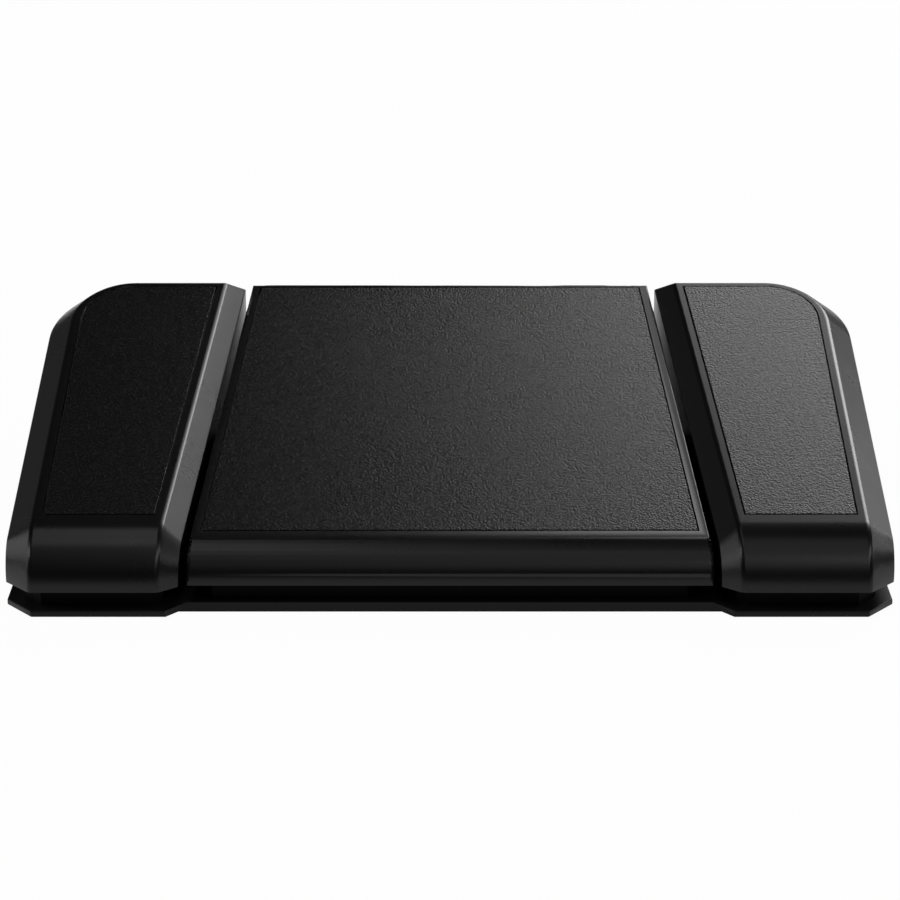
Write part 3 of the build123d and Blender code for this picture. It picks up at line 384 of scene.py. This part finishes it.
# Key switches.
# A black lower housing with its peg through the board, a white upper one, and
# a cross-shaped stem.
PLACES = ("left", "centre", "right")
lower_nylon = grained("switch_base_nylon", colour=(0.015, 0.015, 0.016), roughness=0.45,
                      specular=0.4)
upper_nylon = grained("switch_top_nylon", colour=(0.62, 0.62, 0.6), roughness=0.35,
                      specular=0.5)
stem_acetal = grained("stem_acetal", colour=(0.45, 0.02, 0.02), roughness=0.3,
                      specular=0.5)
dress(["switch_lower_" + place for place in PLACES], lower_nylon)
dress(["switch_upper_" + place for place in PLACES], upper_nylon)
dress(["switch_stem_" + place for place in PLACES], stem_acetal)

# Socket.
# Drawn stainless shell and black contact tongue, in the rear of the centre tray.
stainless = grained("socket_stainless", colour=(0.6, 0.6, 0.6), roughness=0.24,
                    specular=0.5, metallic=1.0)
tongue_plastic = grained("tongue_plastic", colour=(0.02, 0.02, 0.02), roughness=0.4,
                         specular=0.4)
dress(["socket_shell"], stainless)
dress(["socket_tongue"], tongue_plastic)

# Bumpers.
# Soft rubber buttons pushed into pillars; they end each pedal's travel.
bumper_rubber = grained("bumper_rubber", colour=(0.02, 0.02, 0.02), roughness=0.7,
                        specular=0.3)
dress(["bumper_left", "bumper_centre_left", "bumper_centre_right", "bumper_right"],
      bumper_rubber)

# Pedals.
# Moulded black plastic shells with a fine satin texture; their outer edges
# are rolled over, as a mould leaves them, and those of their walls less so.
PEDAL_EDGES = {"left": 0.8 * MM, "centre": 0.5 * MM, "right": 0.8 * MM}
PEDAL_WALL_SHARE = 0.35
PEDAL_SEGMENTS = 4
PEDAL_TURN = radians(17)
SKIRT_RIM = 8.4 * MM
pedal_plastic = grained("satin_pedal_plastic", colour=(0.003, 0.003, 0.003), roughness=0.28,
                        specular=0.25, grain=0.45, grain_depth=0.012, wear=0.03, cloud=20.0)
for place in PLACES:
    shell = copy_of("pedal_" + place, "shell_" + place)
    round_edges(shell, PEDAL_EDGES[place], PEDAL_SEGMENTS, PEDAL_TURN, SKIRT_RIM,
                PEDAL_WALL_SHARE)
    dress_copy(shell, "pedal_" + place, "pedal_" + place + "_body", pedal_plastic)

# Pads.
# Black rubber sheets with a pebbled grain, let into the tops of the pedals and
# standing a little proud of them; the grain's crests are worn glossier, and the
# pebbles' feet are painted darker than their crests as painted shade.
PAD_SLOPE = radians(13)
PAD_PROUD = 0.08 * MM
PAD_GAP = 0.15 * MM
PAD_TOP_DEPTH = 0.1 * MM
PAD_EDGE = 0.05 * MM
PAD_SEGMENTS = 3
PAD_TURN = radians(40)
PEBBLE = 0.6 * MM
PEBBLE_SMOOTHNESS = 0.35
PEBBLE_DEPTH = 0.055 * MM
PEBBLE_FOOT = 0.75
PEBBLE_CREST = 0.1
PORE = 0.4 * MM
PORE_SHARE = 0.3
SHADED_FOOT_COLOUR = (0.0005, 0.0005, 0.0005, 1)
CREST_COLOUR = (0.005, 0.005, 0.005, 1)
FOOT_ROUGHNESS = 0.32
CREST_ROUGHNESS = 0.21
PAD_SPECULAR = 0.45


def draw_in(pad, gap):
    """Bring the pad's sides in from its recess by the gap."""
    for axis in (0, 1):
        reaches = [vertex.co[axis] for vertex in pad.data.vertices]
        middle = (min(reaches) + max(reaches)) / 2
        share = 1 - gap / (max(reaches) - middle)
        for vertex in pad.data.vertices:
            vertex.co[axis] = middle + (vertex.co[axis] - middle) * share


def raise_top(pad, height):
    """Lift the pad's top face square to the pedal's slope."""
    way = Vector((0, -sin(PAD_SLOPE), cos(PAD_SLOPE)))
    top = max(vertex.co @ way for vertex in pad.data.vertices)
    for vertex in pad.data.vertices:
        if top - vertex.co @ way < PAD_TOP_DEPTH:
            vertex.co += way * height


pad_rubber, nodes, links, output = new_material("pebbled_rubber")
shader = nodes.new("ShaderNodeBsdfPrincipled")
shader.inputs["Specular IOR Level"].default_value = PAD_SPECULAR
pad_place = nodes.new("ShaderNodeTexCoord")
pebbles = nodes.new("ShaderNodeTexVoronoi")
pebbles.feature = "SMOOTH_F1"
pebbles.inputs["Scale"].default_value = 1 / PEBBLE
pebbles.inputs["Smoothness"].default_value = PEBBLE_SMOOTHNESS
pores = nodes.new("ShaderNodeTexNoise")
pores.inputs["Scale"].default_value = 1 / PORE
links.new(pad_place.outputs["Object"], pebbles.inputs["Vector"])
links.new(pad_place.outputs["Object"], pores.inputs["Vector"])
crests = nodes.new("ShaderNodeMapRange")
crests.inputs["From Min"].default_value = PEBBLE_FOOT
crests.inputs["From Max"].default_value = PEBBLE_CREST
links.new(pebbles.outputs["Distance"], crests.inputs["Value"])
pebble_height = nodes.new("ShaderNodeMath")
pebble_height.operation = "MULTIPLY_ADD"
pebble_height.inputs[1].default_value = PORE_SHARE
links.new(pores.outputs["Fac"], pebble_height.inputs[0])
links.new(crests.outputs["Result"], pebble_height.inputs[2])
# Painted shade: the pebbles' feet are coloured darker than their crests, following the bump's
# height.
pebble_painted_shade = nodes.new("ShaderNodeMixRGB")
pebble_painted_shade.inputs["Color1"].default_value = SHADED_FOOT_COLOUR
pebble_painted_shade.inputs["Color2"].default_value = CREST_COLOUR
links.new(crests.outputs["Result"], pebble_painted_shade.inputs["Fac"])
links.new(pebble_painted_shade.outputs["Color"], shader.inputs["Base Color"])
pebble_gloss = nodes.new("ShaderNodeMapRange")
pebble_gloss.inputs["To Min"].default_value = FOOT_ROUGHNESS
pebble_gloss.inputs["To Max"].default_value = CREST_ROUGHNESS
links.new(crests.outputs["Result"], pebble_gloss.inputs["Value"])
links.new(pebble_gloss.outputs["Result"], shader.inputs["Roughness"])
pebble_bump = nodes.new("ShaderNodeBump")
pebble_bump.inputs["Strength"].default_value = 1
pebble_bump.inputs["Distance"].default_value = PEBBLE_DEPTH
links.new(pebble_height.outputs[0], pebble_bump.inputs["Height"])
links.new(pebble_bump.outputs["Normal"], shader.inputs["Normal"])
links.new(shader.outputs["BSDF"], output.inputs["Surface"])

for place in PLACES:
    pad = copy_of("pad_" + place, "rubber_" + place)
    draw_in(pad, PAD_GAP)
    raise_top(pad, PAD_PROUD)
    round_edges(pad, PAD_EDGE, PAD_SEGMENTS, PAD_TURN, lowest=0)
    dress_copy(pad, "pad_" + place, "pedal_" + place + "_body", pad_rubber)
